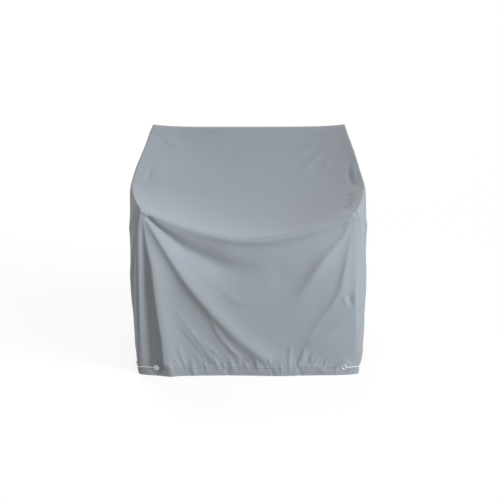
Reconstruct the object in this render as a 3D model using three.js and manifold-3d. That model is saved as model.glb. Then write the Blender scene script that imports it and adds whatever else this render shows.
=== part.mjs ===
// Fitted cloth cover for an outdoor armchair: one long centre panel that runs up the front,
// over the seat and back and down the rear, with a side panel sewn to each of its long edges.
// Four metal eyelets and two short elastic cords draw the front corners together at the hem.
// Millimetres, +Z up, the front faces -Y, the origin is under the middle of the cover.

import * as THREE from 'three';
import Module from 'manifold-3d';
import { mergeVertices } from 'three/addons/utils/BufferGeometryUtils.js';

const wasm = await Module();
wasm.setup();

// Driving dimensions
const DEPTH = 817;
const CLOTH = 2;
const GAP = 0.3;
const SEAM_SHARE = 0.55;
const EYELET_UP = 28;
const EYELET_RADIUS = 10.2;
const CORD = 4;
const KNOT = 12;
const TINY = 1e-6;

const table = (columns, rows) => {
  const names = columns.split(' ');
  return rows.map((row) => Object.fromEntries(names.map((name, i) => [name, row[i]])));
};

// Sections of the centre panel, from the front hem to the rear hem. Each gives both seam points,
// the middle of the cloth, and how square the cloth stays towards its seams. "back" is measured
// from the front plane, and "rows" is the number of mesh rows up to the section.
const SECTION_COLUMNS =
  'rows leftX leftBack leftUp rightX rightBack rightUp midBack midUp squareBack squareLeft squareRight';
const SECTIONS = table(SECTION_COLUMNS, [
  [0, -384, 20, 0, 389, 24, 0, 5, 0, 12, 2, 2],
  [3, -385, 22, 28, 388, 25, 28, 8, 28, 12, 2, 2],
  [3, -388, 22, 60, 401, 30, 60, 12, 58, 12, 2, 2],
  [5, -388, 24, 205, 399, 42, 205, 19, 180, 12, 2, 2],
  [6, -386, 26, 385, 396, 50, 385, 22, 330, 12, 1.8, 1.8],
  [6, -383, 30, 530, 391, 46, 530, 30, 445, 10, 1.7, 1.7],
  [2, -374, 29, 577, 380, 34, 577, 31, 480, 5, 1.67, 1.67],
  [1, -370, 30, 590, 374, 30, 589, 39, 493, 3, 1.67, 1.7],
  [2, -376, 60, 595, 381, 60, 595, 68, 498, 3, 1.75, 2.6],
  [2, -390, 110, 599, 392, 110, 600, 118, 504, 3, 1.85, 3.4],
  [3, -413, 240, 604, 412, 240, 606, 248, 526, 3, 2, 3.8],
  [4, -430, 370, 616, 427, 370, 618, 384, 566, 3, 2.2, 3.8],
  [2, -423, 470, 660, 417, 470, 661, 482, 610, 3, 2.4, 3.2],
  [2, -404, 575, 710, 405, 575, 710, 586, 665, 3, 2.8, 3],
  [2, -388, 680, 757, 389, 680, 757, 690, 730, 3, 3.5, 3.5],
  [2, -379, 738, 782, 383, 738, 783, 742, 771, 3, 5, 5],
  [2, -382, 770, 776, 385, 770, 777, 774, 766, 3, 5, 5],
  [3, -389, 786, 715, 391, 786, 716, 791, 706, 3, 5, 5],
  [8, -398, 798, 400, 400, 798, 400, 806, 396, 6, 3, 3],
  [8, -400, 804, 100, 402, 804, 100, 812, 99, 8, 3, 3],
  [5, -399, 804, 0, 401, 804, 0, 811, 0, 8, 3, 3],
]);
const APEX_SECTION = 7;
const TOP_SECTION = 15;

// Where the mesh columns of the centre panel stand: bands of its width at the hem, with a number of
// steps each. The hem rows have close steps beside the eyelets.
const HEM_COLUMNS = [
  [0, 46, 4], [46, 82, 5], [82, 110, 2], [110, 690, 28], [690, 704, 1], [704, 740, 5], [740, 774, 3],
];
const FRONT_COLUMNS = [[0, 110, 8], [110, 690, 33], [690, 774, 6]];
const DRAPE_COLUMNS = [[0, 90, 4], [90, 684, 17], [684, 774, 4]];
const REAR_COLUMNS = [[0, 774, 13]];
const HEM_SIDE_COLUMNS = [[0, 22, 2], [22, 64, 5], [64, 120, 2], [120, 774, 9]];
const FINE_ROWS = 6;
const LIP_ROWS = 3;

// Folds: a line of points, how far it stands out, and its widths on the left and on the right of
// the line as it runs, each at its start, middle and end. A negative rise is a trough. On the front
// and the rear the points are x and height, on the seat and back x and "back", on a side "back" and
// height.
const FOLD_COLUMNS = 'line rise left right';
const FRONT_FOLDS = table(FOLD_COLUMNS, [
  [[[-353, 575], [-337, 540], [-303, 480], [-262, 410], [-219, 345], [-172, 282], [-118, 218],
    [-74, 172], [-30, 128], [16, 94], [50, 66]],
    [3, 15, 13], [12, 48, 40], [7, 26, 38]],
  [[[-345, 562], [-305, 529], [-253, 494], [-202, 458], [-133, 423], [-64, 392], [13, 376], [93, 372]],
    [-10, -21, 0], [10, 52, 50], [8, 50, 90]],
  [[[-362, 556], [-348, 455], [-335, 401], [-326, 312], [-315, 221], [-301, 128], [-295, 55]],
    [1, 12, 14], [6, 28, 40], [6, 16, 24]],
  [[[-366, 530], [-362, 451], [-361, 398], [-356, 308], [-354, 235], [-351, 125], [-346, 43]],
    [-1, -8, -11], [6, 14, 20], [8, 22, 24]],
  [[[346, 549], [331, 499], [292, 452], [251, 399], [196, 315], [146, 235]],
    [3, 13, 1], [12, 36, 40], [10, 26, 40]],
  [[[353, 545], [348, 455], [336, 380], [322, 310], [288, 243], [246, 187], [214, 130]],
    [1, 7, 3], [12, 30, 30], [8, 16, 20]],
  [[[366, 212], [318, 174], [275, 140], [232, 108], [196, 72]], [2, 5, 3], [16, 22, 16], [20, 26, 26]],
  [[[-245, 225], [-212, 175], [-180, 133], [-150, 88], [-128, 50]], [1, 4, 3], [14, 14, 14], [8, 9, 9]],
  [[[-137, 222], [-124, 185], [-91, 130], [-56, 94], [-30, 66]], [1, 3.5, 2], [10, 10, 10], [8, 8, 8]],
  [[[-126, 348], [-84, 301], [-43, 269], [27, 252], [96, 258]], [0, 2, 0], [20, 20, 20], [12, 12, 12]],
  [[[378, 90], [379, 180], [377, 317], [373, 445], [366, 566]], [2, 3, 2], [18, 18, 18], [18, 18, 18]],
  [[[105, -5], [110, 40], [118, 90]], [8, 6, 1], [90, 90, 90], [90, 90, 90]],
  [[[-272, -5], [-272, 25], [-274, 60]], [7, 5, 1], [26, 26, 26], [22, 22, 22]],
]);
const LIP_FOLDS = table(FOLD_COLUMNS, [
  [[[-351, 575], [-304, 558], [-235, 533], [-166, 514], [-98, 499], [-29, 489], [33, 485], [109, 492],
    [178, 508], [247, 530], [315, 558], [356, 577]],
    [0, 7, 3], [16, 18, 16], [7, 20, 14]],
]);
const SEAT_FOLDS = table(FOLD_COLUMNS, [
  [[[325, 690], [224, 630], [125, 545]], [1, 3.5, 1], [12, 16, 20], [12, 18, 24]],
  [[[331, 655], [257, 575], [190, 485], [172, 455]], [1, 3.5, 1], [10, 14, 14], [12, 20, 20]],
  [[[318, 600], [296, 530], [290, 490]], [0.5, 2.5, 0.5], [10, 12, 12], [10, 14, 14]],
  [[[-363, 705], [-261, 635], [-218, 608]], [1.5, 3, 0.5], [14, 18, 20], [12, 14, 16]],
  [[[-338, 620], [-328, 480], [-318, 330]], [0.5, 2, 0.5], [18, 18, 18], [18, 18, 18]],
  [[[330, 262], [346, 205], [358, 150]], [-2, -8, -3], [18, 22, 16], [16, 18, 14]],
]);
const REAR_FOLDS = table(FOLD_COLUMNS, [
  [[[-275, 0], [-280, 200], [-300, 480], [-330, 740]], [10, 8, 1], [60, 50, 40], [40, 35, 30]],
  [[[-95, 0], [-105, 420], [-120, 740]], [8, 5, 0], [60, 50, 40], [60, 50, 40]],
  [[[118, 0], [125, 380], [110, 740]], [9, 5, 0], [55, 45, 40], [60, 50, 40]],
  [[[280, 0], [284, 180], [296, 470], [330, 740]], [9, 8, 1], [44, 36, 30], [60, 50, 40]],
]);
const SIDE_FOLDS = table(FOLD_COLUMNS, [
  [[[36, 560], [90, 470], [150, 330], [190, 160], [205, 0]], [1, 6, 2], [30, 50, 40], [16, 34, 24]],
  [[[40, 566], [70, 440], [112, 300], [128, 130], [135, 40]], [0, -5, -1], [14, 22, 22], [14, 22, 22]],
  [[[60, 570], [170, 520], [290, 470], [420, 440]], [1, 5, 1], [16, 30, 34], [12, 20, 24]],
  [[[520, 30], [550, 200], [610, 380], [675, 560], [730, 740]], [4, 9, 2], [50, 50, 40], [36, 36, 26]],
  [[[400, 60], [430, 220], [500, 380], [620, 540]], [1, -6, -1], [40, 44, 30], [40, 44, 30]],
  [[[330, 420], [430, 470], [560, 560], [690, 700]], [1, 6, 2], [34, 40, 26], [24, 26, 20]],
  [[[300, 20], [290, 160], [270, 300]], [3, 4, 0], [34, 34, 34], [30, 30, 30]],
]);

// How far a side panel stands outside a flat wall between its seams, by height fraction.
const SIDE_BULGE = table('at left right', [
  [0, 0, 0],
  [0.1, 0, 2],
  [0.2, 0, 3],
  [0.28, 0, 2],
  [0.36, 4, 3],
  [0.45, 6, 5],
  [0.55, 7.6, 4.4],
  [0.68, 5.4, 5.6],
  [0.77, 4.4, 4],
  [0.85, 2, 2],
  [0.91, 2, 1],
  [0.96, 3, 1],
  [1, 0, 0],
]);
const HEM_BULGE = { left: 30, right: 21 };
const BULGE_POWER = 0.65;

// The cloth is flat where an eyelet clamps it: "tilt" is how fast it runs back to the right.
const FLAT_RADIUS = 17;
const FLAT_FADE = 30;
const FRONT_EYELETS = table('name side x back tilt', [
  ['eyelet_front_left', 'left', -325, 9.5, -0.34],
  ['eyelet_front_right', 'right', 339, 12.3, 0.117],
]);
const SIDE_EYELETS = table('name side x back tilt', [
  ['eyelet_side_left', 'left', -397, 76, -0.156],
  ['eyelet_side_right', 'right', 396, 67, 0.126],
]);

const smooth = (t) => t * t * (3 - 2 * t);
const clamp = (t) => Math.min(1, Math.max(0, t));

// A smooth curve through the rows of a table, read at a row number with a fraction.
function alongRows(rows, column, at) {
  const last = rows.length - 1;
  const i = Math.min(last - 1, Math.floor(at));
  const t = at - i;
  const value = (k) => rows[Math.min(last, Math.max(0, k))][column];
  const [a, b, c, d] = [value(i - 1), value(i), value(i + 1), value(i + 2)];
  const slopeB = (c - a) / 2;
  const slopeC = (d - b) / 2;
  const t2 = t * t;
  const t3 = t2 * t;
  return b * (2 * t3 - 3 * t2 + 1) + slopeB * (t3 - 2 * t2 + t) + c * (3 * t2 - 2 * t3) + slopeC * (t3 - t2);
}

// A table read by the value of its key column, in straight steps.
function lookUp(rows, key, column, at) {
  const next = rows.findIndex((row) => row[key] >= at);
  if (next === 0) return rows[0][column];
  if (next < 0) return rows[rows.length - 1][column];
  const [a, b] = [rows[next - 1], rows[next]];
  return a[column] + ((b[column] - a[column]) * (at - a[key])) / (b[key] - a[key]);
}

// Each fold line as a smooth run of short pieces, with the fraction of its length at each point.
const LINE_STEPS = 32;
function prepare(folds) {
  return folds.map((fold) => {
    const curve = new THREE.CatmullRomCurve3(fold.line.map(([a, b]) => new THREE.Vector3(a, b, 0)));
    return { ...fold, run: curve.getSpacedPoints(LINE_STEPS) };
  });
}

// Start, middle and end values, blended smoothly along a line.
function three([start, middle, end], at) {
  return at < 0.5 ? start + (middle - start) * smooth(at * 2) : middle + (end - middle) * smooth(at * 2 - 1);
}

// The height of a set of folds over a point, from the nearest place on each line. A crisp fold is
// tight along its line and has straighter flanks.
function relief(folds, a, b, crisp = false) {
  let height = 0;
  for (const { run, rise, left, right } of folds) {
    let nearest = Infinity;
    let at = 0;
    let side = 0;
    for (let k = 0; k < LINE_STEPS; k += 1) {
      const [p, q] = [run[k], run[k + 1]];
      const [dx, dy] = [q.x - p.x, q.y - p.y];
      const t = clamp(((a - p.x) * dx + (b - p.y) * dy) / (dx * dx + dy * dy));
      const [ox, oy] = [a - p.x - dx * t, b - p.y - dy * t];
      const gap = Math.hypot(ox, oy);
      if (gap < nearest) {
        nearest = gap;
        at = (k + t) / LINE_STEPS;
        side = gap > 0 ? (dx * oy - dy * ox) / (Math.hypot(dx, dy) * gap) : 0;
      }
    }
    const [wideLeft, wideRight] = [three(left, at), three(right, at)];
    const width = (wideLeft + wideRight) / 2 + (side * (wideLeft - wideRight)) / 2;
    const away = (nearest / width) ** 2;
    height += three(rise, at) * Math.exp(crisp ? 1 - Math.sqrt(1 + 4 * away) : -away);
  }
  return height;
}
const frontFolds = prepare(FRONT_FOLDS);
const lipFolds = prepare(LIP_FOLDS);
const seatFolds = prepare(SEAT_FOLDS);
const rearFolds = prepare(REAR_FOLDS);
const sideFolds = prepare(SIDE_FOLDS);

// Flattens a wall around an eyelet: returns the new "out" value of a point of the wall.
function flatten(eyelets, along, up, value, alongKey, valueKey) {
  let result = value;
  for (const eyelet of eyelets) {
    const distance = Math.hypot(along - eyelet[alongKey], up - EYELET_UP);
    const flat = eyelet[valueKey] + eyelet.tilt * (along - eyelet[alongKey]);
    const weight = 1 - smooth(clamp((distance - FLAT_RADIUS) / (FLAT_FADE - FLAT_RADIUS)));
    result += (flat - result) * weight;
  }
  return result;
}

// A point of the centre panel: row is a section number with a fraction, u runs from the left
// seam (0) to the right seam (1). The folds fade out at the seams, and over a few sections where
// the cloth turns over the crest and over the top.
const EDGE_FADE = 0.025;
const CREST_FADE = 2.2;
const SEAT_FADE = 2;
const TOP_FADE = 0.5;
const REAR_FADE = 1.5;
function centrePoint(row, u) {
  const read = (column) => alongRows(SECTIONS, column, row);
  const side = Math.abs(2 * u - 1);
  const mix = (left, right, middle, square) => {
    const straight = read(left) + (read(right) - read(left)) * u;
    const swell = read(middle) - (read(left) + read(right)) / 2;
    return straight + swell * (1 - side ** read(square));
  };
  const x = read('leftX') + (read('rightX') - read('leftX')) * u;
  const back = mix('leftBack', 'rightBack', 'midBack', 'squareBack');
  const up = mix('leftUp', 'rightUp', 'midUp', u < 0.5 ? 'squareLeft' : 'squareRight');
  const fade = smooth(clamp(Math.min(u, 1 - u) / EDGE_FADE));
  const seat = smooth(clamp((row - APEX_SECTION) / SEAT_FADE));
  const below = smooth(clamp((TOP_SECTION - row) / TOP_FADE));
  const lifted = up + relief(seatFolds, x, back) * fade * seat * below;
  if (row >= APEX_SECTION + 1) {
    const rear = smooth(clamp((row - TOP_SECTION - 1) / REAR_FADE));
    return new THREE.Vector3(x, back + relief(rearFolds, x, up) * fade * rear, lifted);
  }
  const front = smooth(clamp((APEX_SECTION + 1 - row) / CREST_FADE));
  const folded = back - (relief(frontFolds, x, up, true) + relief(lipFolds, x, up)) * front * fade;
  return new THREE.Vector3(x, flatten(FRONT_EYELETS, x, up, folded, 'x', 'back'), lifted);
}

// Column places from bands of [from, to, steps], as fractions of the whole width.
const spread = (bands) => {
  const width = bands[bands.length - 1][1];
  const places = bands.flatMap(([from, to, steps]) =>
    Array.from({ length: steps }, (_, i) => (from + ((to - from) * i) / steps) / width));
  return [...places, 1];
};

// The whole cloth is one surface first: a pool of points, and triangles for each panel.
const pool = [];
const addPoint = (point) => pool.push(point) - 1;

// Joins two rows of points. Where the rows match, each square is cut along the diagonal that lies
// nearer to the real surface; elsewhere the shorter cut is taken.
const places = new Map();
function bridge(triangles, lower, upper, flipped) {
  if (lower.length === upper.length && [...lower, ...upper].every((id) => places.has(id))) {
    lower.slice(1).forEach((b, k) => {
      const [a, c, d] = [lower[k], upper[k], upper[k + 1]];
      const row = (places.get(a).row + places.get(c).row) / 2;
      const u = [a, b, c, d].reduce((sum, id) => sum + places.get(id).u, 0) / 4;
      const real = centrePoint(row, u);
      const offBy = (p, q) => pool[p].clone().lerp(pool[q], 0.5).distanceTo(real);
      if (offBy(a, d) < offBy(b, c)) triangles.push([a, b, d], [a, d, c]);
      else triangles.push([a, b, c], [b, d, c]);
    });
    return;
  }
  let [i, j] = [0, 0];
  while (i < lower.length - 1 || j < upper.length - 1) {
    const canLower = i < lower.length - 1;
    const canUpper = j < upper.length - 1;
    const lowerCut = canLower ? pool[lower[i + 1]].distanceTo(pool[upper[j]]) : Infinity;
    const upperCut = canUpper ? pool[lower[i]].distanceTo(pool[upper[j + 1]]) : Infinity;
    const third = lowerCut <= upperCut ? lower[i + 1] : upper[j + 1];
    const triangle = [lower[i], third, upper[j]];
    if (lowerCut <= upperCut) i += 1;
    else j += 1;
    triangles.push(flipped ? triangle.reverse() : triangle);
  }
}

function makeCentreRows() {
  const rowPlaces = SECTIONS.flatMap(({ rows }, section) =>
    Array.from({ length: rows }, (_, i) => section - 1 + (i + 1) / rows));
  const total = (section) => SECTIONS.slice(0, section + 1).reduce((sum, { rows }) => sum + rows, 0);
  const [apex, top] = [total(APEX_SECTION), total(TOP_SECTION)];
  const rows = [0, ...rowPlaces].map((row, number) => {
    let bands = REAR_COLUMNS;
    if (number <= top) bands = DRAPE_COLUMNS;
    if (number <= apex + LIP_ROWS) bands = FRONT_COLUMNS;
    if (number <= FINE_ROWS) bands = HEM_COLUMNS;
    return spread(bands).map((u) => {
      const id = addPoint(centrePoint(row, u));
      places.set(id, { row, u });
      return id;
    });
  });
  return { rows, apex, top };
}

// A side panel hangs between the front corner, the arm and back edge, and the rear corner.
function makeSide({ rows, apex, top }, sideName) {
  const sign = sideName === 'left' ? -1 : 1;
  const edge = rows.map((row) => (sideName === 'left' ? row[0] : row[row.length - 1]));
  const front = edge.slice(0, apex + 1);
  const arm = edge.slice(apex, top + 1);
  const rear = edge.slice(top).reverse();
  const lengths = arm.map((id, k) => (k ? pool[id].distanceTo(pool[arm[k - 1]]) : 0));
  const walked = lengths.map((_, k) => lengths.slice(0, k + 1).reduce((sum, l) => sum + l, 0));
  const armPlaces = walked.map((l) => l / walked[walked.length - 1]);
  const armCurve = (s) => {
    const next = Math.max(1, armPlaces.findIndex((place) => place >= s - TINY));
    const t = (s - armPlaces[next - 1]) / (armPlaces[next] - armPlaces[next - 1]);
    return pool[arm[next - 1]].clone().lerp(pool[arm[next]], t);
  };
  const [hemFront, hemRear] = [pool[front[0]], pool[rear[0]]];
  const swell = (s) => Math.sin(Math.PI * s) ** BULGE_POWER;
  const hemCurve = (s) => {
    const point = hemFront.clone().lerp(hemRear, s);
    point.x += sign * HEM_BULGE[sideName] * swell(s);
    return point;
  };
  const [apexPoint, topPoint] = [pool[arm[0]], pool[arm[arm.length - 1]]];
  const sidePoint = (level, s) => {
    const [a, b] = [pool[front[level]], pool[rear[level]]];
    const t = (a.z / apexPoint.z + b.z / topPoint.z) / 2;
    const point = hemCurve(s).multiplyScalar(1 - t).addScaledVector(armCurve(s), t);
    point.addScaledVector(a, 1 - s).addScaledVector(b, s);
    point.addScaledVector(hemFront, (s - 1) * (1 - t)).addScaledVector(hemRear, -s * (1 - t));
    point.addScaledVector(apexPoint, (s - 1) * t).addScaledVector(topPoint, -s * t);
    const bulge = lookUp(SIDE_BULGE, 'at', sideName, t) * swell(s);
    const fade = smooth(clamp(Math.min(s, 1 - s, 1 - t) / EDGE_FADE));
    const out = sign * point.x + bulge + relief(sideFolds, point.y, point.z) * fade;
    const eyelets = SIDE_EYELETS.filter(({ side }) => side === sideName);
    point.x = flatten(eyelets, point.y, point.z, sign * out, 'back', 'x');
    return point;
  };
  const levels = front.map((first, level) => {
    if (level === apex) return arm;
    const places = level <= FINE_ROWS ? spread(HEM_SIDE_COLUMNS) : armPlaces;
    const inner = places.slice(1, -1).map((s) => addPoint(sidePoint(level, s)));
    return [first, ...inner, rear[level]];
  });
  const triangles = [];
  levels.slice(1).forEach((upper, k) => bridge(triangles, levels[k], upper, sideName === 'left'));
  return triangles;
}

// The cloth gets its thickness inwards, a little more where it bends sharply. The hem stays level.
const LEAST_FACING = 0.72;
function vertexOffsets(panels) {
  const normals = pool.map(() => []);
  const sides = { ab: new THREE.Vector3(), ac: new THREE.Vector3() };
  for (const triangles of Object.values(panels)) {
    for (const [a, b, c] of triangles) {
      sides.ab.subVectors(pool[b], pool[a]);
      sides.ac.subVectors(pool[c], pool[a]);
      const normal = new THREE.Vector3().crossVectors(sides.ab, sides.ac);
      [a, b, c].forEach((id) => normals[id].push(normal));
    }
  }
  return normals.map((list, id) => {
    const mean = list.reduce((sum, normal) => sum.add(normal), new THREE.Vector3()).normalize();
    if (pool[id].z < TINY) mean.setZ(0).normalize();
    const least = Math.min(...list.map((normal) => normal.clone().normalize().dot(mean)));
    return mean.multiplyScalar(-CLOTH / Math.max(LEAST_FACING, least));
  });
}

// Where panels meet, both keep half of the gap to the seam. These are the directions from the
// seam's points into one of the panels.
function intoPanel(triangles, seam) {
  const inward = new Map(seam.map((id) => [id, new THREE.Vector3()]));
  for (const triangle of triangles) {
    const middle = triangle.reduce((sum, id) => sum.addScaledVector(pool[id], 1 / 3), new THREE.Vector3());
    for (const id of triangle.filter((corner) => inward.has(corner))) {
      inward.get(id).add(middle.clone().sub(pool[id]).normalize());
    }
  }
  return inward;
}

// How far the centre panel's seam points move, square to the seam and to the cloth.
function seamShifts(centre, side, seam, offsets) {
  const [intoCentre, intoSide] = [intoPanel(centre, seam), intoPanel(side, seam)];
  return new Map(seam.map((id, k) => {
    const [before, after] = [seam[Math.max(0, k - 1)], seam[Math.min(seam.length - 1, k + 1)]];
    const away = intoCentre.get(id).normalize().sub(intoSide.get(id).normalize());
    for (const line of [pool[after].clone().sub(pool[before]).normalize(), offsets[id].clone().normalize()]) {
      away.addScaledVector(line, -away.dot(line));
    }
    return [id, away.normalize().multiplyScalar(GAP * SEAM_SHARE)];
  }));
}

// The closed solid of one panel: its outer face, its inner face and a strip along every open edge.
function closedPanel(triangles, shifts, sign, offsets) {
  const used = [...new Set(triangles.flat())];
  const numbers = new Map(used.map((id, k) => [id, k]));
  const still = new THREE.Vector3();
  const outer = used.map((id) => pool[id].clone().addScaledVector(shifts.get(id) ?? still, sign));
  const inner = used.map((id, k) => outer[k].clone().add(offsets[id]));
  const corners = triangles.map((triangle) => triangle.map((id) => numbers.get(id)));
  const count = used.length;
  const faces = corners.flatMap(([a, b, c]) => [[a, b, c], [c + count, b + count, a + count]]);
  const halfEdges = new Set(corners.flatMap(([a, b, c]) => [`${a} ${b}`, `${b} ${c}`, `${c} ${a}`]));
  for (const half of halfEdges) {
    const [a, b] = half.split(' ').map(Number);
    if (halfEdges.has(`${b} ${a}`)) continue;
    if (used[a] < used[b]) faces.push([b, a, b + count], [a, a + count, b + count]);
    else faces.push([b, a, a + count], [b, a + count, b + count]);
  }
  const geometry = new THREE.BufferGeometry();
  const flat = [...outer, ...inner].flatMap(({ x, y, z }) => [x, y - DEPTH / 2, z]);
  geometry.setAttribute('position', new THREE.Float32BufferAttribute(flat, 3));
  geometry.setIndex(faces.flat());
  return geometry;
}

function toSolid(geometry, matrix = new THREE.Matrix4()) {
  const bare = geometry.clone().applyMatrix4(matrix);
  bare.deleteAttribute('normal');
  bare.deleteAttribute('uv');
  const merged = mergeVertices(bare, 1e-4);
  const vertProperties = new Float32Array(merged.attributes.position.array);
  const triVerts = new Uint32Array(merged.index.array);
  return new wasm.Manifold(new wasm.Mesh({ numProp: 3, vertProperties, triVerts }));
}

function toGeometry(solid) {
  const { vertProperties, triVerts } = solid.getMesh();
  const geometry = new THREE.BufferGeometry();
  geometry.setAttribute('position', new THREE.Float32BufferAttribute(vertProperties, 3));
  geometry.setIndex([...triVerts]);
  geometry.computeVertexNormals();
  return geometry;
}

// A rolled metal eyelet: a barrel through the cloth with a flange clamped on each face.
const EYELET_SIDES = 16;
const BARREL = { inner: 5.2, outer: 6.4 };
const FLANGE = { inside: CLOTH / 2 + GAP, crown: CLOTH / 2 + 1.4, lip: 0.6, rolled: 2 };
function eyeletGeometry() {
  const { inner, outer } = BARREL;
  const { inside, crown, lip, rolled } = FLANGE;
  const profile = [
    [inner, crown - lip],
    [inner, lip - crown],
    [inner + rolled, -crown],
    [EYELET_RADIUS, -inside],
    [outer, -inside],
    [outer, inside],
    [EYELET_RADIUS, inside],
    [inner + rolled, crown],
    [inner, crown - lip],
  ];
  return new THREE.LatheGeometry(profile.map(([r, h]) => new THREE.Vector2(r, h)), EYELET_SIDES);
}

// The room that an eyelet takes out of the cloth: its barrel with the gap, and its two flanges.
function eyeletRoom() {
  const [hole, recess] = [BARREL.outer + GAP, EYELET_RADIUS + GAP];
  const barrel = new THREE.CylinderGeometry(hole, hole, CLOTH * 4, EYELET_SIDES);
  const flange = new THREE.CylinderGeometry(recess, recess, CLOTH * 2, EYELET_SIDES);
  const lift = new THREE.Matrix4().makeTranslation(0, CLOTH * 1.5, 0);
  const drop = new THREE.Matrix4().makeTranslation(0, -CLOTH * 1.5, 0);
  return toSolid(barrel).add(toSolid(flange, lift)).add(toSolid(flange, drop));
}

// An eyelet's frame: its middle sits halfway through the cloth, its axis is the cloth's normal.
function eyeletFrame({ x, back }, normal) {
  const turn = new THREE.Quaternion().setFromUnitVectors(new THREE.Vector3(0, 1, 0), normal);
  const middle = new THREE.Vector3(x, back - DEPTH / 2, EYELET_UP).addScaledVector(normal, -CLOTH / 2);
  return new THREE.Matrix4().compose(middle, turn, new THREE.Vector3(1, 1, 1));
}
const frontNormal = ({ tilt }) => new THREE.Vector3(tilt, -1, 0).normalize();
const sideNormal = ({ side, tilt }) =>
  new THREE.Vector3(1, -tilt, 0).multiplyScalar(side === 'left' ? -1 : 1).normalize();

// The elastic cords, knotted inside both eyelets and drawn round the corner: x, back, up.
const CORD_STEPS = 36;
const CORD_SIDES = 8;
const KNOT_RINGS = 5;
const CORD_ROUTES = {
  cord_left: [
    [-322.7, 16.2, 28], [-324.4, 11.4, 28], [-326, 9, 28], [-328.8, 7.7, 28], [-332.4, 8, 28],
    [-335.6, 9.5, 28], [-350, 11.7, 28.4], [-368, 14.6, 28.4], [-382, 17, 28.2], [-387, 19.5, 28],
    [-390, 25.5, 28], [-391.6, 31, 28], [-395, 47.5, 28.2], [-398.8, 65.6, 28], [-399.7, 69, 28],
    [-399.4, 72.6, 28], [-397.7, 75.1, 28], [-395, 76.3, 28], [-390, 77.1, 28],
  ],
  cord_right: [
    [338.2, 19.4, 28], [338.8, 14.3, 28], [339.9, 11.6, 28], [342.3, 9.8, 28], [345.9, 9.3, 28],
    [349.3, 10.1, 28], [354, 11.2, 28.2], [362, 12.9, 28.4], [370, 15, 28.4], [378, 17.8, 28.2],
    [385.5, 21, 28], [390.2, 23.8, 28], [393.2, 30.5, 28], [395.8, 44, 28.2], [398.1, 56.7, 28],
    [398.9, 60.1, 28], [398.5, 63.7, 28], [396.7, 66.1, 28], [394, 67.2, 28], [389, 67.9, 28],
  ],
};
function cordGeometry(route) {
  const points = route.map(([x, back, up]) => new THREE.Vector3(x, back - DEPTH / 2, up));
  const path = new THREE.CatmullRomCurve3(points);
  const section = new THREE.Shape();
  for (let k = 0; k < CORD_SIDES; k += 1) {
    const angle = (k / CORD_SIDES) * Math.PI * 2;
    const [a, b] = [(Math.cos(angle) * CORD) / 2, (Math.sin(angle) * CORD) / 2];
    if (k) section.lineTo(a, b);
    else section.moveTo(a, b);
  }
  const tube = new THREE.ExtrudeGeometry(section, { steps: CORD_STEPS, extrudePath: path, curveSegments: 1 });
  const ball = new THREE.SphereGeometry(KNOT / 2, CORD_SIDES, KNOT_RINGS);
  const ends = [points[0], points[points.length - 1]];
  const knots = ends.map((end) => toSolid(ball, new THREE.Matrix4().makeTranslation(end.x, end.y, end.z)));
  return toGeometry(knots.reduce((solid, knot) => solid.add(knot), toSolid(tube)));
}

const cloth = new THREE.MeshStandardMaterial({ color: 0x9aa2ab, roughness: 0.78, metalness: 0 });
const clothSide = new THREE.MeshStandardMaterial({ color: 0x8f979f, roughness: 0.78, metalness: 0 });
const steel = new THREE.MeshStandardMaterial({ color: 0xc9cbcc, roughness: 0.3, metalness: 0.9 });
const elastic = new THREE.MeshStandardMaterial({ color: 0xf1f1ee, roughness: 0.7, metalness: 0 });

const cover = new THREE.Group();
function addMesh(name, geometry, material) {
  const mesh = new THREE.Mesh(geometry, material);
  mesh.name = name;
  cover.add(mesh);
  return mesh;
}

const layout = makeCentreRows();
const centreTriangles = [];
layout.rows.slice(1).forEach((upper, k) => bridge(centreTriangles, layout.rows[k], upper, false));
const panels = {
  centre_panel: centreTriangles,
  side_panel_left: makeSide(layout, 'left'),
  side_panel_right: makeSide(layout, 'right'),
};
const offsets = vertexOffsets(panels);
const seams = [layout.rows.map((row) => row[0]), layout.rows.map((row) => row[row.length - 1])];
const sides = [panels.side_panel_left, panels.side_panel_right];
const shifts = new Map(seams.flatMap((seam, k) => [...seamShifts(centreTriangles, sides[k], seam, offsets)]));

const eyelets = [
  ...FRONT_EYELETS.map((row) => ({ row, panel: 'centre_panel', normal: frontNormal(row) })),
  ...SIDE_EYELETS.map((row) => ({ row, panel: `side_panel_${row.side}`, normal: sideNormal(row) })),
];
for (const [name, triangles] of Object.entries(panels)) {
  let solid = toSolid(closedPanel(triangles, shifts, name === 'centre_panel' ? 1 : -1, offsets));
  for (const { row, normal } of eyelets.filter(({ panel }) => panel === name)) {
    solid = solid.subtract(eyeletRoom().transform([...eyeletFrame(row, normal).elements]));
  }
  addMesh(name, toGeometry(solid), name === 'centre_panel' ? cloth : clothSide);
}
for (const { row, normal } of eyelets) {
  const mesh = addMesh(row.name, eyeletGeometry(), steel);
  mesh.applyMatrix4(eyeletFrame(row, normal));
}
for (const [name, route] of Object.entries(CORD_ROUTES)) addMesh(name, cordGeometry(route), elastic);

export default cover;
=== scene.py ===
import math

import bpy
import numpy as np
from mathutils import Matrix, Vector


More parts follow.
